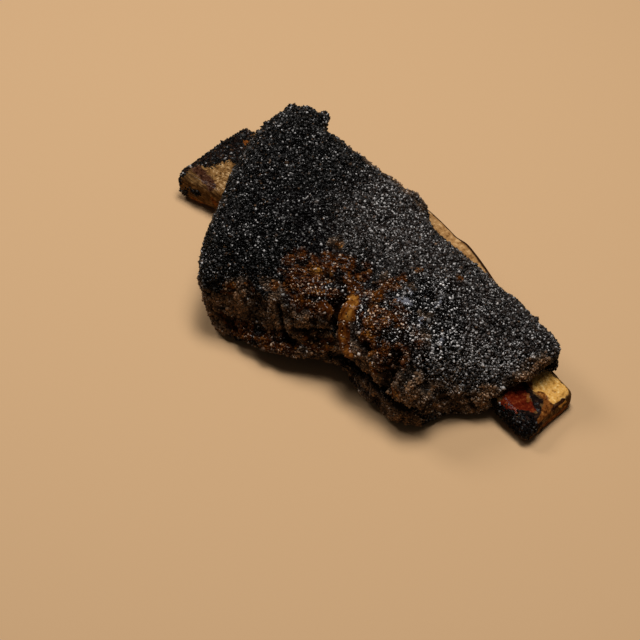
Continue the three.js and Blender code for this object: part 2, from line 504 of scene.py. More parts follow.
meat = {
    "bodyVoxel": 1.5,
    "bodySmoothing": 9,
    "skinVoxel": 0.79,
    "skinSmoothing": 2,
    # balls with a centre, radii and a turn that swell out of the body
    "lobes": [
        ((152, -22.5, 32), (12.5, 9.5, 13), -20),
        ((163, -29, 29), (9, 6.5, 9), 0),
        ((177, -28, 25), (8.5, 7.5, 11), -20),
        ((184.5, -25, 18), (5.5, 6, 9), -20),
        ((119, -31.5, 37.5), (5, 4.5, 5), 0),
        ((125.5, -28, 38), (5, 4.5, 5), 0),
        ((122, -34.5, 32), (5.5, 4.5, 5), 15),
        ((129, -30, 33.5), (4.6, 4.2, 5), 0),
        ((130.6, -29.6, 37), (4.2, 3.2, 3.8), 20),
        ((114, -37, 34.5), (4.5, 4.5, 4.5), 0),
        ((104, -41.5, 35), (7, 5, 5), 10),
        ((90, -47.5, 28), (7, 5, 9), 0),
        ((42, 54, 37.5), (6, 4.5, 5), 15),
        ((25, 52.5, 34), (4.2, 4.2, 5), 0),
        ((31.5, 56.5, 34), (5.2, 4.6, 5), 30),
        ((40, 59, 35.5), (3.8, 3.8, 4), 0),
    ],
    # soft rolls through spots with a radius
    "rolls": [
        [(136, -20, 38.8, 2.4), (137.5, -22.3, 38.2, 4.0), (139, -25.4, 36.6, 4.1),
         (140.4, -28.4, 34, 3.2), (142.3, -31, 31.2, 2.9), (145, -33.2, 28.8, 2.6),
         (148.5, -34.6, 27.3, 2.2), (152, -35.2, 27.3, 1.5)],
        [(164.5, 9.3, 41.5, 0.8), (166.5, 5, 42.0, 1.0), (167, 1, 42.5, 0.8)],
        [(95, -50, 9, 3.0), (106, -47, 10, 3.8), (117, -41.5, 12, 4.0), (126, -36.5, 12.5, 3.6),
         (134, -32.5, 12, 3.0)],
        [(133, -31, 3, 2.4), (146, -31, 4, 3.2), (160, -31.5, 4.5, 3.6), (172, -31.5, 5, 3.9),
         (180, -29.5, 5, 3.8), (185, -24, 5, 3.3), (187.5, -18, 4, 2.4)],
        [(124.5, -35, 16, 3.2), (130, -33.5, 18.5, 3.8), (135.5, -30.5, 18, 3.0)],
    ],
    # paths with a radius and a depth
    "creases": [
        ([(132.5, -21, 41), (133.8, -26.5, 37), (136, -30.8, 31), (139.5, -34, 25),
          (144, -35, 20), (150, -35, 19)], 1.7, 5.5),
        ([(143.2, -25, 41), (144.6, -28, 38.5), (146.5, -30.8, 35.5), (149, -33, 32.5)], 1.1, 2.0),
        ([(120, -39, 24), (127, -36, 25.5), (133, -32, 27)], 1.7, 3.2),
        ([(142, -31, 13), (151, -32, 14), (159, -34, 16), (166, -35, 17), (174, -36, 16),
          (181, -34, 14), (186, -28, 13)], 3.1, 5.2),
        ([(108, -42, 37), (113, -42.5, 27), (117, -41, 14)], 1.6, 2.2),
        ([(91, -51, 34), (95, -51.5, 24), (100, -49, 13)], 1.4, 1.7),
        ([(157, -31.5, 37), (160, -34, 26), (161, -35, 18)], 1.9, 2.8),
        ([(172, -27, 40), (173.5, -31, 33), (172, -35, 26), (170, -36, 20)], 2.0, 3.4),
        ([(181, -20, 40), (185, -23, 32), (187, -24, 22)], 2.0, 3.0),
        ([(161, 7, 44), (166, 0, 43), (168, -6, 43)], 1.2, 1.2),
        ([(124, -30, 41), (131, -26, 38)], 1.5, 2.2),
        ([(23.5, 47, 42), (28, 48.5, 44)], 1.6, 2.6),
        ([(36.5, 61.5, 38), (38.5, 57, 41)], 1.5, 2.0),
        ([(51, 54, 38), (47, 58.5, 33)], 3.2, 2.6),
        ([(178.8, -10.7, 40), (180.1, -16.5, 38), (183.3, -21.6, 33)], 2.2, 1.8),
        ([(157.5, -13.2, 45), (163.4, -14.4, 44), (168.6, -15.5, 42.5)], 1.7, 1.3),
        ([(154.9, -16.1, 44), (158.7, -23.2, 41), (163.4, -26.9, 38)], 1.6, 1.5),
        ([(138.9, -9.4, 46), (140, -14.3, 45.5), (141.9, -18.8, 44)], 1.6, 1.4),
        ([(120.3, -10.5, 46), (126.7, -9.4, 46), (128, -3.1, 46)], 1.8, 1.2),
        ([(165.5, -5, 44.5), (167.5, 2, 44.5), (169, 9, 44)], 1.5, 1.2),
        ([(118, 49, 36), (140, 44.5, 35), (166, 43, 33), (174, 41, 32)], 5, 2.0),
        ([(208, 6, 12.5), (211, 12, 13), (213.5, 20, 13.5), (214, 27, 14)], 3.4, 3.0),
        ([(213.5, 24, 17), (215, 29, 19), (214.5, 33, 18)], 4.5, 2.2),
    ],
    # the foot draws back under the near edge: along the bone, height and depth of that hollow
    "hollow": [(78, 2.0, 0), (92, 2.0, 0.5), (104, 3.5, 3.5), (112, 6.0, 8), (119, 9.0, 13),
               (130, 9.5, 14), (142, 7.5, 11), (154, 4.5, 6), (172, 3.0, 3), (190, 2.5, 2)],
    # and its wall leans in above the table: along the bone and depth at the full height
    "lean": [(74, 0), (84, 5), (90, 6), (98, 6), (110, 2.5), (120, 0)],
    "leanHeight": 22,
    # the near edge on the table, along and across the bone: both fade out inward from it
    "nearEdge": [(72, -52), (84, -54), (96, -50), (108, -45), (118, -40), (130, -35), (142, -32),
                 (154, -33), (172, -34), (184, -31), (190, -22)],
    "hollowReach": 26,
    "tableReach": 2.5,  # up to here the skin is calmer, to lie flat on the table
    "crustInset": 0.55,  # the skin lies this far back where grains cover it
    "clump": {"size": 7.0, "seed": 11, "height": 0.55},
    "crust": {"size": 2.6, "seed": 13, "height": 0.62},
    "nodes": {"size": 5.2, "seed": 17, "height": 1.6},
    "beads": {"size": 2.3, "seed": 19, "height": 0.45},
    "spots": {"size": 5.0, "seed": 25},  # brown spots within a brown patch
    "upperBurn": 0.55,  # how much less brown the upper side of a lump is
    "upperShade": 0.55,  # and how much less its ground shows
    # smooth fat, without nodules or rub
    "smoothArea": {"tear": 0.1, "size": 6, "seed": 9, "edge": 0.25, "patches": [
        ([(137, -21.5, 41.5), (139, -26, 39.5)], 4.8),
        ([(139.5, -28.5, 37.5), (142, -31.5, 35), (145, -34.5, 32), (150, -36.8, 29)], 3.0),
        ([(129.6, -30, 39.8), (131.6, -29.2, 39.8)], 2.8),
    ]},
    # a thick black glaze over the rub, with its sheen painted into its colour
    "glazeArea": {"tear": 0.25, "size": 3, "seed": 15, "edge": 0.15, "patches": [
        ([(164.5, 9.3, 43), (166.5, 5, 43), (167, 1, 43)], 1.0),
        ([(154.0, -9.4, 46), (158.8, -6.6, 46)], 1.9),
        ([(161, -9.9, 45)], 1.2),
        ([(180, -8.2, 40), (181.5, -10, 40)], 1.2),
        ([(150, 0, 46.5), (156, -2, 46)], 1.0),
        ([(168, -9, 44), (170, -13, 43.5)], 1.2),
    ]},
    # the crust is greyer and drier here, and its grains carry more painted glints
    "paleArea": {"tear": 0.35, "size": 12, "seed": 21, "edge": 0.6, "patches": [
        ([(112, 38, 42), (116, 20, 45), (124, 20, 44), (140, 22, 43), (160, 22, 41)], 20),
        ([(165, 18, 40), (190, 20, 35), (206, 22, 31)], 19),
        ([(176, 2, 39), (195, 6, 30), (208, 10, 24)], 14),
        ([(176, -13, 42), (190, -9, 35), (206, -3, 26)], 12),
        ([(190, -22, 26), (196, -15, 22), (205, -6, 18)], 14),
    ]},
    # more light flecks on the grains here: painted glints, and on the shaded wall under the slab
    # painted light
    "brighterGlintArea": {"tear": 0.35, "size": 8, "seed": 55, "edge": 0.5, "patches": [
        ([(186, -10, 34), (194, -3, 28), (203, 4, 23), (208, 12, 20)], 11),
        ([(184, -13, 36), (190, -12, 27), (198, -7, 19)], 6),
        # painted light on the wall under the slab, which lies in shade
        ([(187, -23, 12), (191, -16, 9), (197, -9, 8), (203, -3, 9)], 7),
    ]},
    "brownArea": {"tear": 0.42, "size": 9, "seed": 3, "edge": 0.18, "patches": [
        ([(82, -54, 16), (100, -49, 20), (118, -42, 22)], 13),
        ([(112, -41, 32), (124, -34, 36), (130, -31, 34)], 8),
        ([(88, -51, 32), (92, -48, 36)], 3.5),
        ([(102, -41, 38), (106, -39, 39)], 4.0),
        ([(126, -36, 18), (134, -32, 16)], 11),
        ([(133, -17, 41), (138, -28, 37), (148, -33, 28)], 7),
        ([(152, -31, 32), (163, -33, 27), (176, -32, 26), (186, -27, 20)], 10),
        ([(134, -35, 5), (160, -37, 6), (182, -34, 6)], 7.5),
        ([(211, 8, 20), (213, 20, 23)], 5.5),
        ([(187, -24, 14), (191, -15, 11), (197, -8, 10), (203, -2, 12)], 7),
        ([(66, 55, 38), (92, 52, 38), (116, 48, 36)], 4.0),
        ([(72, -50, 20), (78, -54, 10)], 9),
        ([(112, -4, 47)], 3.5),
        ([(140.1, -2.4, 46.5), (144, -9.6, 46)], 2.8),
        ([(167.5, -6, 44), (170.4, 0.3, 44), (172.5, 8, 44)], 2.4),
        ([(168.5, 18, 43)], 2.2),
        ([(148.5, 1, 46.5), (153, 1, 46.5)], 2.8),
        ([(173.5, -13, 41.5), (178, -15, 39)], 2.8),
        ([(100, 50, 36), (88, 56, 30)], 5),
    ]},
    # darker and redder, where juice ran and burnt
    "syrupArea": {"tear": 0.45, "size": 6, "seed": 27, "edge": 0.35, "patches": [
        ([(110, -24, 46), (121, -21, 45), (131, -17, 42)], 8.5),
        ([(118, -12, 46), (128, -8, 45)], 6),
        ([(116, -33, 40), (128, -28, 40)], 7),
        ([(146, -18, 44), (156, -24, 42), (168, -26, 40)], 11),
        ([(146, -10, 45), (147, 0, 46)], 4.5),
        ([(178, -20, 39)], 5),
        ([(90, -53, 11), (106, -48, 13), (118, -42, 15)], 4.5),
    ]},
    # black again, between the coloured lumps
    "burntArea": {"tear": 0.45, "size": 4, "seed": 49, "edge": 0.3, "patches": [
        ([(140.2, -17, 44), (145.4, -24, 41.5), (150, -28, 40)], 3.0),
        ([(113.5, -41, 38), (118, -43, 36), (121, -44, 32)], 4.2),
        ([(131, -35.5, 36), (134, -34, 33)], 3.0),
        ([(180.5, -11, 38), (178, -20, 38)], 4.0),
        ([(125, -23, 43.5), (128.5, -17, 44)], 1.8),
        ([(163, -17, 44), (166, -25, 42)], 2.4),
        ([(151, -9, 46), (152.5, -15, 45)], 2.0),
        ([(98, -50, 26), (102, -47, 14)], 3.4),
        ([(166, -33, 30), (168, -30, 36)], 1.6),
    ]},
    "amberArea": {"tear": 0.5, "size": 5, "seed": 5, "edge": 0.3, "patches": [
        ([(116, -21.5, 46), (118, -20.5, 46)], 3.0),
        ([(120.5, -19, 45.5), (122.5, -18.5, 45)], 2.6),
        ([(122, -34.3, 40)], 3.0),
        ([(121.8, -28, 41)], 2.2),
        ([(137, -21.5, 41.5), (139, -27, 39)], 5.0),
        ([(140, -29, 37.5), (143, -33, 33.5)], 1.9),
        ([(111, -37, 42)], 2.8),
        ([(105, -40, 41)], 2.6),
        ([(87, -51, 32)], 3.6),
        ([(95, -48, 37)], 2.8),
        ([(127, -39, 19), (134, -34, 21)], 3.6),
        ([(112.9, -3.6, 47)], 2.3),
        ([(148.5, 11.8, 45)], 2.0),
        ([(162, 24, 41)], 1.8),
        ([(152, -25, 42), (158, -28, 40)], 2.6),
        ([(163, -35, 29)], 3.6),
        ([(144.5, -11, 46), (147, -18, 45)], 2.4),
        ([(155, -19, 44), (160, -20, 43.5)], 2.4),
        ([(152, -31, 40), (156, -33, 38), (160, -33.5, 37)], 2.8),
        ([(111.3, -31.8, 41)], 1.8),
        ([(84, -54, 14), (92, -52, 7), (100, -49, 5)], 3.0),
        ([(170, -31, 36), (173, -33, 32)], 2.6),
        ([(177, -35, 25)], 3.2),
    ]},
    "wetArea": {"tear": 0.35, "size": 6, "seed": 7, "edge": 0.4, "patches": [
        ([(148, -8, 47), (160, -6, 46)], 9),
        ([(158, 4, 45), (168, -4, 44)], 8),
        ([(133, -17, 42), (140, -29, 35)], 5),
        ([(146, -22, 43), (156, -18, 44), (165, -18, 44)], 11),
        ([(176, -8, 42), (186, -8, 36)], 6),
        ([(118, -32, 40), (130, -22, 41)], 6),
        ([(130, -35, 20)], 6),
        ([(162, 12, 42), (172, 6, 40), (182, -6, 38)], 6),
    ]},
    # dark, middle and light tone of each part of the crust, for its grains too
    "tones": {
        "black": ((0.0004, 0.0003, 0.0003), (0.001, 0.0009, 0.0008), (0.0032, 0.0025, 0.002)),
        "pale": ((0.0085, 0.0044, 0.0028), (0.028, 0.0185, 0.014), (0.075, 0.056, 0.047)),
        "ground": ((0.05, 0.033, 0.0215), (0.13, 0.087, 0.057), (0.245, 0.17, 0.115)),
        "brown": ((0.056, 0.028, 0.0135), (0.215, 0.112, 0.053), (0.44, 0.25, 0.13)),
        "syrup": ((0.01, 0.002, 0.0003), (0.063, 0.0155, 0.002), (0.19, 0.064, 0.0105)),
        "amber": ((0.03, 0.0068, 0.0007), (0.125, 0.036, 0.0042), (0.34, 0.145, 0.025)),
    },
    # near-black colours of painted shade, for the seams and pits
    "seamShadeColor": (0.0016, 0.0011, 0.0009),
    "groundSeamShadeColor": (0.0120, 0.0078, 0.0050),
    "syrupSeamShadeColor": (0.0050, 0.0014, 0.0003),
    "roughness": 0.55,
    "reflection": 0.0,  # of the burnt ground between the grains
    "film": 0.15,  # of fat, where it is thickest
    "filmRoughness": 0.07,
    # grey-blue, the sheen of the black glaze painted into its colour
    "glazeSheenColor": (0.110, 0.108, 0.122),
    "glazeFilm": 0.40,
    "toneSize": 4.8,
    # size and tear of the torn masks
    "torn": {"brown": (2.4, 0.42), "syrup": (2.2, 0.45), "amber": (1.8, 0.5)},
    "paleShare": 0.7,
    "stain": 0.8,  # dark juice under the syrup
    "relief": {"Pebble": 1.05, "Grain": 0.4, "Share": 0.5},
    "reliefHeight": 0.45,
}


def makeMeatBody():
    draft = draftOf("meat")
    remeshSmoothly(draft, meat["bodyVoxel"], meat["bodySmoothing"])
    shape = bmesh.new()
    shape.from_mesh(draft.data)
    for centre, radii, turn in meat["lobes"]:
        addBall(shape, centre, radii, turn)
    for path in meat["rolls"]:
        addRoll(shape, path)
    shape.to_mesh(draft.data)
    shape.free()
    remeshSmoothly(draft, meat["skinVoxel"], meat["skinSmoothing"])
    return meshFrom(draft)


def drawBack(points):
    # how far the foot and the wall over it move inward
    x, y, z = points.T
    along, height, depth = np.array(meat["hollow"], float).T
    edgeAlong, edge = np.array(meat["nearEdge"], float).T
    leanAlong, leanDepth = np.array(meat["lean"], float).T
    inward = (y - np.interp(x, edgeAlong, edge)) / meat["hollowReach"]
    near = 1 - np.clip(inward, 0, 1)
    top = np.interp(x, along, height)
    low = 1 - smoothStep(top - 1.5, top + 1.0, z)
    foot = low * np.interp(x, along, depth)
    up = np.clip(z / meat["leanHeight"], 0, 1)
    return foot * near, near * up * np.interp(x, leanAlong, leanDepth)


def shapeMeatSkin(mesh):
    points = onRib(pointsOf(mesh))
    normals = normalsOf(mesh)
    brown, syrup, amber, wet, smooth, glaze, burnt, pale, brighterGlint = areaMasks(points, meat, (
        "brown", "syrup", "amber", "wet", "smooth", "glaze", "burnt", "pale", "brighterGlint")).values()
    burnt *= 1 - smooth
    amber *= 1 - burnt
    lumpy = np.maximum(brown, 0.85 * syrup) * (1 - 0.6 * burnt)
    ground = brown * (1 - 0.6 * burnt) * (1 - 0.9 * syrup)

    depth = np.zeros(len(points))
    for path, radius, deep in meat["creases"]:
        depth += deep * np.exp(-(distanceTo(points, path) / radius) ** 2)
    clump = softNoise(points, meat["clump"]) * meat["clump"]["height"]
    crust = pebbleNoise(points, meat["crust"])
    nodes = pebbleNoise(points + 1.5 * normals, meat["nodes"])
    beads = pebbleNoise(points, meat["beads"])
    lumps = (nodes - 0.6) * meat["nodes"]["height"] + (beads - 0.5) * meat["beads"]["height"]
    rough = (1 - lumpy) * ((crust - 0.5) * meat["crust"]["height"] - meat["crustInset"])
    rough += lumpy * lumps
    rough = rough * (1 - glaze) + glaze * (0.1 + 0.9 * (beads - 0.5))
    rise = clump * (1 - 0.5 * smooth) - depth + rough * (1 - 0.9 * smooth)
    moved = layFlat(points, points + normals * rise[:, None], meat["tableReach"])
    foot, lean = drawBack(moved)
    moved[:, 1] += foot + lean
    movePoints(mesh, inFrame(moved))

    # in creases and under the drawn-back foot the relief falls to 0, so the seam colour paints
    # shade there
    hollow = np.clip(depth / 3 + foot / 4, 0, 1)
    upper = smoothStep(0.30, 0.85, normals[:, 2])
    spots = smoothStep(-0.15, 0.28, raggedNoise(points, meat["spots"]))
    bulging = np.maximum(0.3 + 0.7 * smoothStep(0.12, 0.50, nodes), smooth)
    knobbly = 0.1 + 0.9 * smoothStep(0.18, 0.58, nodes)
    brown *= 1 - meat["upperBurn"] * upper
    brown *= bulging * (0.3 + 0.7 * spots)
    relief = lumpy * (0.65 * nodes + 0.35 * beads) + (1 - lumpy) * crust
    flat = np.maximum(smooth, glaze)
    relief = (relief * (1 - flat) + flat) * (1 - hollow)
    setMasks(mesh, {
        "brown": brown * (1 - syrup) * (1 - np.maximum(smooth, 0.9 * burnt)),
        "syrup": np.maximum(knobbly * syrup * (1 - 0.88 * burnt), smooth),
        "amber": amber,
        "wet": wet * (1 - 0.6 * smooth),
        "smooth": smooth,
        "glaze": glaze,
        # painted glints on the grains round the rim of the glaze
        "glazeRimGlint": 4 * glaze * (1 - glaze),  # round the rim of the glaze
        "bare": np.maximum.reduce([0.80 * smooth, 0.92 * glaze, 0.7 * amber, hollow ** 2]),
        "lumpy": lumpy,
        "ground": ground * (1 - meat["upperShade"] * upper),
        "brighterGlint": brighterGlint,
        "pale": pale * (1 - 0.8 * lumpy) * (1 - 0.8 * wet),
        "relief": relief,
        # the gap is the low ground between the lumps, where the grains get painted shade
        "gap": lumpy * (1 - smoothStep(0.20, 0.55, relief)),  # between the lumps
    })
    mesh.shade_smooth()


def barkTones(tree, size):
    return {kind: placeTone(tree, size, *colors) for kind, colors in meat["tones"].items()}


def makeMeatMaterial():
    material, tree, shader = newMaterial("meatCrust")
    tones = barkTones(tree, meat["toneSize"])
    ground, syrup, glaze = (attribute(tree, name) for name in ("ground", "syrup", "glaze"))
    torn = {kind: placePatchy(tree, kind, *values) for kind, values in meat["torn"].items()}
    palePart = times(tree, attribute(tree, "pale"), meat["paleShare"])
    color = mixedColor(tree, palePart, tones["black"], tones["pale"])
    color = mixedColor(tree, ground, color, tones["ground"])
    stain = times(tree, syrup, meat["stain"])
    color = mixedColor(tree, stain, color, meat["tones"]["syrup"][0])
    for kind, part in torn.items():
        color = mixedColor(tree, part, color, tones[kind])
    # painted shade in the seams between the lumps and in the pits between the pebbles
    seamShade = mapped(tree, attribute(tree, "relief"), 0.18, 0.60, 1.0, 0.0)
    relief = placeGroup(tree, fineRelief, **meat["relief"]).outputs["Height"]
    pitShade = mapped(tree, relief, 0.62, 0.98, 0.85, 0.0)
    pitShade = times(tree, pitShade, opposite(tree, times(tree, attribute(tree, "smooth"), 0.7)))
    seamShadeColor = mixedColor(tree, ground, meat["seamShadeColor"], meat["groundSeamShadeColor"])
    seamShadeColor = mixedColor(tree, syrup, seamShadeColor, meat["syrupSeamShadeColor"])
    color = mixedColor(tree, larger(tree, seamShade, pitShade), color, seamShadeColor)
    # the glaze takes its painted sheen colour
    color = mixedColor(tree, glaze, color, meat["glazeSheenColor"])
    link(tree, color, shader.inputs["Base Color"])
    setGloss(shader, meat)
    soaked = larger(tree, attribute(tree, "wet"), attribute(tree, "brown"))
    film = placeGroup(tree, grease, Wet=larger(tree, soaked, syrup), Size=1.6)
    coloured = larger(tree, torn["brown"], torn["syrup"])
    shine = times(tree, times(tree, film.outputs["Film"], coloured), meat["film"])
    shine = larger(tree, shine, times(tree, glaze, meat["glazeFilm"]))
    link(tree, shine, shader.inputs["Coat Weight"])
    calm = opposite(tree, times(tree, attribute(tree, "lumpy"), 0.4))
    addBump(tree, shader, times(tree, relief, calm), meat["reliefHeight"])
    return material


meatMesh = makeMeatBody()
shapeMeatSkin(meatMesh)
newPiece("meat_crust", meatMesh, makeMeatMaterial(), "meat")
print("meat made:", len(meatMesh.polygons) * 2, "triangles")


bone = {
    "voxel": 0.72,
    "smoothing": 4,
    "tableReach": 2.0,
    "wave": {"size": 16, "seed": 43, "height": 0.5},
    "fibre": {"size": 1.1, "seed": 41, "height": 0.22},
    "crumbs": {"size": 2.4, "seed": 47, "height": 0.75},
    "charArea": {"tear": 0.45, "size": 4, "seed": 23, "edge": 0.3, "patches": [
        ([(-1, 2, 13), (-1, 14, 15), (2, 31, 16), (4, 44, 17)], 4.6),
        ([(4, 14, 17), (8, 22, 17), (10, 32, 17), (14, 44, 17)], 5.6),
        ([(14, 25, 18), (20, 32, 18)], 5.0),
        ([(-1, 0, 3), (0, 0, 12)], 3.0),
        ([(3, -1, 4), (6, -1, 8)], 1.8),
        ([(9, -1.5, 9), (13, -1, 10)], 1.3),
        ([(208.8, 15, 12), (213, 13.8, 12), (217, 12.8, 11.5), (220, 10, 11), (223, 9, 11)], 1.5),
        ([(217, 14, 11.5), (221, 14, 11)], 1.0),
        ([(218, 2.5, 11.5), (222, 3, 11), (224, 5, 11)], 2.6),
        ([(213, -1.2, 12), (218, -1, 11.5), (225, -1.5, 10.5)], 2.2),
        ([(204, -4, 8), (226, -4, 7)], 5.2),
        ([(226, -2, 7), (226, 5, 7)], 2.6),
        ([(226, -2, 1), (226, 30, 1)], 1.4),
    ]},
    "amberArea": {"tear": 0.45, "size": 5, "seed": 29, "edge": 0.3, "patches": [
        ([(206.5, 23.5, 12.5), (213, 23.2, 12), (217, 23.2, 11.5), (220.5, 22.8, 11)], 5.9),
    ]},
    "tanArea": {"tear": 0.35, "size": 4, "seed": 35, "edge": 0.3, "patches": [
        ([(12, 9.5, 17), (14.5, 18, 17), (22, 7, 18), (26, 3, 18)], 2.4),
        ([(15.5, 12.5, 17.5), (20, 7.5, 18)], 3.6),
    ]},
    "orangeArea": {"tear": 0.45, "size": 4, "seed": 33, "edge": 0.3, "patches": [
        ([(221.8, 15.5, 11), (224, 12, 10.5)], 2.0),
        ([(224.6, 9, 10), (225, 5.5, 10)], 1.3),
        ([(209, 17.5, 12.4), (214, 16.8, 12), (219, 17, 11), (222, 18.5, 11), (223.5, 22, 11)],
         1.5),
        ([(221, 16, 11), (224, 13, 10), (224, 11, 10)], 2.2),
        ([(213, 12, 12), (215.2, 9.4, 11.6)], 0.8),
        ([(9, 35, 17), (13, 35.5, 17)], 1.8),
        ([(9, -2, 3), (16, -1.5, 3.4), (23, -1.5, 3.4)], 1.3),
        ([(21, 2, 12), (24, 0.5, 9), (27, -1, 7)], 1.6),
        ([(226, 10, 3), (226, 26, 3)], 1.8),
    ]},
    "redArea": {"tear": 0.4, "size": 5, "seed": 31, "edge": 0.35, "patches": [
        ([(205, 10, 12.5), (210, 8.5, 12.5), (215, 7, 12), (211, 3.5, 12.3)], 5.4),
    ]},
    "maroonArea": {"tear": 0.45, "size": 4, "seed": 39, "edge": 0.4, "patches": [
        ([(5.5, 6, 16), (9.7, 5.5, 17), (15, 3, 17), (20, 2, 17)], 2.6),
        ([(225, 22, 9), (225, 15, 9)], 1.2),
    ]},
    "stripArea": {"tear": 0.15, "size": 8, "seed": 37, "edge": 0.2, "patches": [
        ([(100, 58, 26), (130, 51, 26), (150, 48, 25), (168, 43, 24), (180, 40, 22)], 7.5),
    ]},
    # the far edge of the bone shows here and stands out a little
    "stripBulge": ([(144, 49, 22), (160, 47, 21), (174, 43, 20)], 8, 2.0),
    # size of the features and a dark, a middle and a light tone
    "tones": {
        "wood": (2.2, (0.048, 0.0225, 0.0075), (0.145, 0.072, 0.023), (0.29, 0.16, 0.06)),
        "amber": (1.8, (0.42, 0.19, 0.035), (0.72, 0.37, 0.085), (0.88, 0.58, 0.22)),
        "orange": (1.6, (0.05, 0.013, 0.003), (0.165, 0.051, 0.01), (0.36, 0.145, 0.032)),
        "tan": (1.6, (0.035, 0.015, 0.0045), (0.18, 0.088, 0.027), (0.46, 0.3, 0.145)),
        "maroon": (1.3, (0.007, 0.0026, 0.0014), (0.042, 0.015, 0.0075), (0.13, 0.07, 0.04)),
        "red": (1.8, (0.028, 0.002, 0.0008), (0.095, 0.009, 0.0028), (0.19, 0.04, 0.01)),
        "char": (1.8, (0.0035, 0.0024, 0.0024), (0.01, 0.0055, 0.0042), (0.04, 0.019, 0.011)),
        "strip": (2.4, (0.16, 0.07, 0.02), (0.34, 0.175, 0.062), (0.52, 0.31, 0.135)),
    },
    "rimColor": (0.030, 0.0120, 0.0050),
    "roughness": 0.5,
    "reflection": 0.0,
    "film": 0.11,
    "filmRoughness": 0.08,
    # stains over each other in this order, each with the size of its torn parts
    "stains": {"red": 1.8, "tan": 1.4, "orange": 1.4, "amber": 1.6, "maroon": 1.3},
    "stainTear": 0.4,
    "charTorn": (1.5, 0.55),  # size and tear
    "relief": {"Pebble": 0.9, "Grain": 0.35, "Share": 0.6},
    "reliefHeight": 0.18,
}


def makeBoneBody():
    draft = draftOf("bone")
    remeshSmoothly(draft, bone["voxel"], bone["smoothing"])
    return meshFrom(draft)


def shapeBoneSkin(mesh):
    points = onRib(pointsOf(mesh))
    normals = normalsOf(mesh)
    masks = areaMasks(points, bone, ("char", "amber", "red", "orange", "tan", "maroon", "strip"))
    masks["char"] *= 1 - 0.9 * masks["orange"]
    char, strip = masks["char"], masks["strip"]
    fibre = softNoise(points * (0.12, 1, 1), bone["fibre"]) * bone["fibre"]["height"]
    wave = softNoise(points, bone["wave"]) * bone["wave"]["height"]
    crumbs = (pebbleNoise(points, bone["crumbs"]) - 0.35) * bone["crumbs"]["height"]
    rise = wave * (1 - 0.6 * strip) + fibre * (1 - char) * (1 - strip) + char * crumbs
    bulgePath, bulgeRadius, bulge = bone["stripBulge"]
    rise += bulge * np.exp(-(distanceTo(points, bulgePath) / bulgeRadius) ** 4)
    moved = layFlat(points, points + normals * rise[:, None], bone["tableReach"])
    movePoints(mesh, inFrame(moved))
    edge = smoothStep(0.15, 0.50, normals[:, 1]) * (1 - smoothStep(0.80, 0.97, normals[:, 1]))
    setMasks(mesh, {**masks, "rim": strip * edge})
    mesh.shade_smooth()


def makeBoneMaterial():
    material, tree, shader = newMaterial("bone")
    tones = {kind: placeTone(tree, *look) for kind, look in bone["tones"].items()}
    darkWood = bone["tones"]["wood"][1]
    darkFibre = bone["tones"]["orange"][1]
    strip = attribute(tree, "strip")
    streak = placeGroup(tree, streaks, Size=0.9).outputs["Streak"]
    color = mixedColor(tree, mapped(tree, streak, 0.36, 0.6), darkWood, tones["wood"])
    for kind, size in bone["stains"].items():
        part = placePatchy(tree, kind, size, bone["stainTear"])
        color = mixedColor(tree, part, color, tones[kind])
    # dark fibres over the bright parts
    fibre = mapped(tree, streak, 0.28, 0.40, 0.7, 0.0)
    calm = mapped(tree, attribute(tree, "amber"), 0.2, 0.8, 1.0, 0.55)
    color = mixedColor(tree, times(tree, fibre, calm), color, darkFibre)
    color = mixedColor(tree, strip, color, tones["strip"])
    rim = mapped(tree, attribute(tree, "rim"), 0.35, 0.8)
    color = mixedColor(tree, rim, color, bone["rimColor"])
    charPart = placePatchy(tree, "char", *bone["charTorn"])
    color = mixedColor(tree, charPart, color, tones["char"])
    link(tree, color, shader.inputs["Base Color"])
    setGloss(shader, bone)
    film = placeGroup(tree, grease, Wet=0.4, Size=2.2)
    shine = times(tree, film.outputs["Film"], bone["film"])
    link(tree, times(tree, shine, opposite(tree, strip)), shader.inputs["Coat Weight"])
    relief = placeGroup(tree, fineRelief, **bone["relief"]).outputs["Height"]
    height = combined(tree, "ADD", relief, times(tree, streak, 1.5))
    addBump(tree, shader, height, bone["reliefHeight"])
    return material


boneMesh = makeBoneBody()
shapeBoneSkin(boneMesh)
newPiece("rib_bone", boneMesh, makeBoneMaterial(), "bone")
print("bone made:", len(boneMesh.polygons) * 2, "triangles")


bipyramid = (
    [(1, 0, 0), (-0.5, 0.87, 0), (-0.5, -0.87, 0), (0, 0, 1), (0, 0, -1)],
    [(0, 1, 3), (1, 2, 3), (2, 0, 3), (1, 0, 4), (2, 1, 4), (0, 2, 4)],
)
octahedron = (
    [(1, 0, 0), (-1, 0, 0), (0, 1, 0), (0, -1, 0), (0, 0, 1), (0, 0, -1)],
    [(0, 2, 4), (2, 1, 4), (1, 3, 4), (3, 0, 4), (2, 0, 5), (1, 2, 5), (3, 1, 5), (0, 3, 5)],
)


def ballShape(divisions):
    shape = bmesh.new()
    bmesh.ops.create_icosphere(shape, subdivisions=divisions, radius=1)
    corners = [tuple(vertex.co) for vertex in shape.verts]
    faces = [tuple(vertex.index for vertex in face.verts) for face in shape.faces]
    shape.free()
    return corners, faces


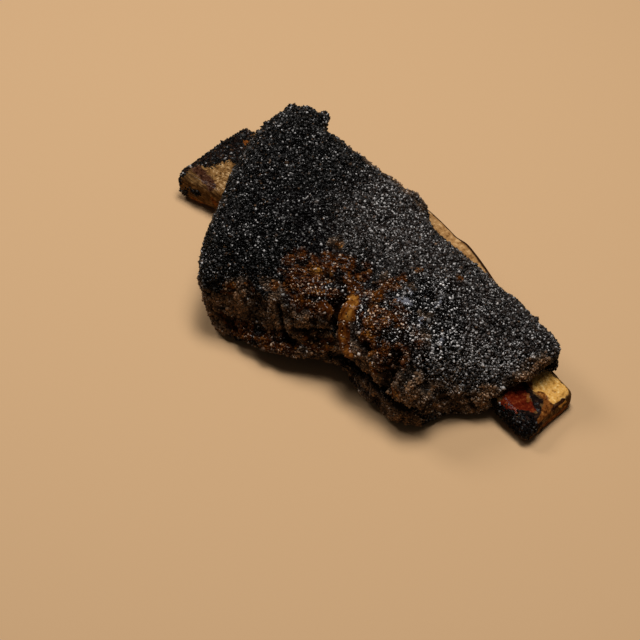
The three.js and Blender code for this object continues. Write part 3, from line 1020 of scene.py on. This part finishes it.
def surfaceSpots(mesh, count, gap, wanted, random):
    # random spots on a mesh, no more than one in each cell of the size of the gap
    mesh.calc_loop_triangles()
    corners = np.empty(len(mesh.loop_triangles) * 3, np.int32)
    mesh.loop_triangles.foreach_get("vertices", corners)
    corners = corners.reshape(-1, 3)
    points = onRib(pointsOf(mesh))
    a, b, c = (points[corners[:, side]] for side in range(3))
    cross = np.cross(b - a, c - a)
    area = np.linalg.norm(cross, axis=1) / 2
    weight = area * wanted[corners].mean(axis=1)
    chosen = random.choice(len(area), size=count, p=weight / weight.sum())
    u, v = random.random(count), random.random(count)
    flip = u + v > 1
    u[flip], v[flip] = 1 - u[flip], 1 - v[flip]
    spots = a[chosen] + u[:, None] * (b - a)[chosen] + v[:, None] * (c - a)[chosen]
    cells = np.floor(spots / gap).astype(np.int64)
    keys = (cells[:, 0] * 1000 + cells[:, 1]) * 1000 + cells[:, 2]
    kept = np.sort(np.unique(keys, return_index=True)[1])
    normal = cross[chosen] / (2 * area[chosen])[:, None]
    return spots[kept], normal[kept], corners[chosen[kept], 0]


def turnsFor(count, random):
    # turns in any direction, as matrices
    spin = random.normal(size=(count, 4))
    spin /= np.linalg.norm(spin, axis=1)[:, None]
    w, x, y, z = spin.T
    return np.stack([
        1 - 2 * (y * y + z * z), 2 * (x * y - z * w), 2 * (x * z + y * w),
        2 * (x * y + z * w), 1 - 2 * (x * x + z * z), 2 * (y * z - x * w),
        2 * (x * z - y * w), 2 * (y * z + x * w), 1 - 2 * (x * x + y * y),
    ], axis=1).reshape(-1, 3, 3)


def grainMesh(name, shape, spots, radii, random, uneven):
    corners, faces = (np.array(part) for part in shape)
    count, each = len(spots), len(corners)
    local = corners[None] * (1 + uneven * random.normal(size=(count, each, 1)))
    local = local * (radii[:, None] * random.uniform(*grains["sideSpread"], (count, 3)))[:, None, :]
    placed = np.einsum("nij,nkj->nki", turnsFor(count, random), local) + spots[:, None, :]
    placed[..., 2] = np.maximum(placed[..., 2], grains["lowest"])
    mesh = bpy.data.meshes.new(name)
    mesh.vertices.add(count * each)
    mesh.vertices.foreach_set("co", inFrame(placed.reshape(-1, 3)).astype(np.float32).ravel())
    order = (faces[None] + each * np.arange(count)[:, None, None]).reshape(-1, 3)
    mesh.loops.add(order.size)
    mesh.loops.foreach_set("vertex_index", order.astype(np.int32).ravel())
    mesh.polygons.add(len(order))
    mesh.polygons.foreach_set("loop_start", np.arange(0, order.size, 3, dtype=np.int32))
    mesh.update(calc_edges=True)
    mesh.validate()
    return mesh


grains = {
    # each kind has the grains tried and the most kept, the least gap between them, the radius
    # and its spread, the share of it sunk in, how uneven it is, its usual and its most fleck of
    # salt and painted glint
    "fine": {"shape": bipyramid, "seed": 101, "tries": 140000, "limit": 33000, "gap": 0.90,
             "radius": 0.46, "spread": 0.25, "sink": 0.0, "uneven": 0.14,
             "saltAndGlint": 0.0160, "brightest": 0.56},
    "middle": {"shape": octahedron, "seed": 102, "tries": 70000, "limit": 20000, "gap": 1.15,
               "radius": 0.57, "spread": 0.22, "sink": -0.35, "uneven": 0.12,
               "saltAndGlint": 0.0068, "brightest": 0.45},
    "coarse": {"shape": ballShape(1), "seed": 103, "tries": 12000, "limit": 3500, "gap": 2.4,
               "radius": 0.66, "spread": 0.28, "sink": -0.2, "uneven": 0.10,
               "saltAndGlint": 0.0022, "brightest": 0.08},
    "bone": {"shape": octahedron, "seed": 104, "tries": 9000, "limit": 3500, "gap": 1.1,
             "radius": 0.62, "spread": 0.3, "sink": 0.1, "uneven": 0.14,
             "saltAndGlint": 0.0044, "brightest": 0.45},
    # how many of them lie on the lumps, against the rest of the crust
    "lumpyShare": {"fine": 0.26, "middle": 0.11, "coarse": 0.03},
    "sideSpread": (0.72, 1.28),  # how far the three sizes of a grain differ
    "lowest": 0.02,
    # on the bone they lie near its wide end, and at its narrow end on the near side
    "wideEnd": 30,
    "narrowEnd": 203,
    "narrowSide": 4,
    "dryRoughness": 0.20,
    "wetRoughness": 0.10,
    "wetFilm": 0.45,
    "filmRoughness": 0.1,
    "reflection": 0.05,
    "toneSize": 3.0,
    # share of the light fleck, partly salt and partly a painted glint, on a grain's upper facets: a
    # few are bright and most are dark
    "saltAndGlintSpread": 1.85,
    # how each mask raises the flecks of salt and painted glint and spreads them between dark and
    # bright; in the gaps they fall, as painted shade
    "saltAndGlintGains": {
        "brown": (0.9, 0.90), "syrup": (-0.30, 1.00), "amber": (0.0, 0.1),
        "wet": (0.10, 1.00), "pale": (3.5, -0.12), "brighterGlint": (2.0, 0.1),
        "ground": (-0.30, 0.0), "gap": (-0.85, 0.0), "glazeRimGlint": (9.0, 0.0),
    },
    # the painted glints gather in curls, like highlights on a wet surface
    "glintCurls": {"size": 2.8, "seed": 51},
    "glintCurlGain": 1.5,
    "wetGlintCurlGain": 1.8,
    "wetBrightest": 0.4,
    "saltAndGlintColor": (0.85, 0.80, 0.76),
    "warmSaltAndGlintColor": (0.80, 0.52, 0.30),
}


def scatterGrains(name, look, host, wanted, material):
    random = np.random.default_rng(look["seed"])
    spots, normals, nearest = surfaceSpots(host, look["tries"], look["gap"], wanted, random)
    if len(spots) > look["limit"]:
        kept = np.sort(random.permutation(len(spots))[:look["limit"]])
        spots, normals, nearest = spots[kept], normals[kept], nearest[kept]
    radii = look["radius"] * np.exp(look["spread"] * random.normal(size=len(spots)))
    spots = spots - normals * (radii * look["sink"])[:, None]
    mesh = grainMesh(name, look["shape"], spots, radii, random, look["uneven"])
    corners, sides = (len(part) for part in look["shape"])
    setMask(mesh, "tone", np.repeat(random.random(len(spots)), corners))
    chance = random.normal(size=len(spots))
    saltAndGlint = look["saltAndGlint"] * np.exp(grains["saltAndGlintSpread"] * chance)
    for mask, (gain, spread) in grains["saltAndGlintGains"].items():
        if mask in host.attributes:
            values = maskOf(host, mask)[nearest]
            setMask(mesh, mask, np.repeat(values, corners))
            saltAndGlint *= 1 + gain * values
            saltAndGlint *= np.exp(spread * values * chance)
    wet = maskOf(host, "wet")[nearest] if "wet" in host.attributes else np.zeros(len(spots))
    glintCurls = 1 - smoothStep(0.02, 0.30, np.abs(softNoise(spots, grains["glintCurls"])))
    saltAndGlint *= np.exp((grains["glintCurlGain"] + grains["wetGlintCurlGain"] * wet) * (glintCurls - 0.45))
    saltAndGlint = np.minimum(saltAndGlint, look["brightest"] * (1 + grains["wetBrightest"] * wet))
    # the flecks go on the upper facets: painted highlights, as lit from above
    upward = np.empty(len(mesh.polygons) * 3, np.float32)
    mesh.polygon_normals.foreach_get("vector", upward)
    upward = smoothStep(-0.35, 0.6, upward[2::3])
    setMask(mesh, "saltAndGlint", np.repeat(saltAndGlint, sides) * upward, "FACE")
    newPiece(name, mesh, material)
    print(name, "made:", len(spots), "grains,", len(mesh.polygons), "triangles")


def makeGrainMaterial():
    material, tree, shader = newMaterial("rubGrain")
    tones = barkTones(tree, grains["toneSize"])
    tone, brown, syrup, amber, wet = (
        attribute(tree, name) for name in ("tone", "brown", "syrup", "amber", "wet"))
    light = mapped(tree, tone, 0.35, 1.0, 0.15, 1.0)
    palePart = times(tree, attribute(tree, "pale"), light)
    color = mixedColor(tree, palePart, tones["black"], tones["pale"])
    color = mixedColor(tree, attribute(tree, "ground"), color, tones["ground"])
    color = mixedColor(tree, syrup, color, meat["tones"]["syrup"][0])
    coloured = mapped(tree, tone, 0.0, 0.35, 0.35, 0.95)
    color = mixedColor(tree, times(tree, brown, coloured), color, tones["brown"])
    color = mixedColor(tree, times(tree, syrup, coloured), color, tones["syrup"])
    amberPart = times(tree, amber, times(tree, coloured, 0.6))
    color = mixedColor(tree, amberPart, color, tones["amber"])
    # a few grains are brownish wherever they lie
    stray = mapped(tree, tone, 0.95, 1.0, 0.0, 0.3)
    color = mixedColor(tree, stray, color, tones["brown"])
    # painted shade on grains that lie in the gaps between the lumps
    shade = times(tree, attribute(tree, "gap"), 0.85)
    color = mixedColor(tree, shade, color, meat["groundSeamShadeColor"])
    # the flecks of salt and painted glint, warmer on the coloured parts
    warm = times(tree, larger(tree, larger(tree, brown, syrup), amber), 0.8)
    saltAndGlint = mixedColor(tree, warm, grains["saltAndGlintColor"], grains["warmSaltAndGlintColor"])
    color = mixedColor(tree, attribute(tree, "saltAndGlint"), color, saltAndGlint)
    link(tree, color, shader.inputs["Base Color"])
    shader.inputs["Specular IOR Level"].default_value = grains["reflection"]
    shader.inputs["Coat Roughness"].default_value = grains["filmRoughness"]
    soaked = combined(tree, "ADD", wet, times(tree, tone, 0.6))
    film = placeGroup(tree, grease, Wet=soaked, Size=2.0)
    film.inputs["Dry Roughness"].default_value = grains["dryRoughness"]
    film.inputs["Wet Roughness"].default_value = grains["wetRoughness"]
    link(tree, film.outputs["Roughness"], shader.inputs["Roughness"])
    shine = mapped(tree, tone, 0.3, 0.8, 0.0, grains["wetFilm"])
    link(tree, times(tree, wet, shine), shader.inputs["Coat Weight"])
    return material


grainMaterial = makeGrainMaterial()
meatHeight = onRib(pointsOf(meatMesh))[:, 2]
clear = smoothStep(0.8, 3.0, meatHeight) * smoothStep(-0.75, -0.35, normalsOf(meatMesh)[:, 2])
clear *= 1 - maskOf(meatMesh, "bare")
lumpy = maskOf(meatMesh, "lumpy")
for kind, share in grains["lumpyShare"].items():
    wanted = clear * (1 - (1 - share) * lumpy)
    scatterGrains("rub_" + kind, grains[kind], meatMesh, wanted, grainMaterial)

x, y, z = onRib(pointsOf(boneMesh)).T
inTheOpen = (x < grains["wideEnd"]) | ((x > grains["narrowEnd"]) & (y < grains["narrowSide"]))
wanted = maskOf(boneMesh, "char") * smoothStep(2.0, 5.0, z) * inTheOpen
scatterGrains("rub_bone", grains["bone"], boneMesh, wanted, grainMaterial)
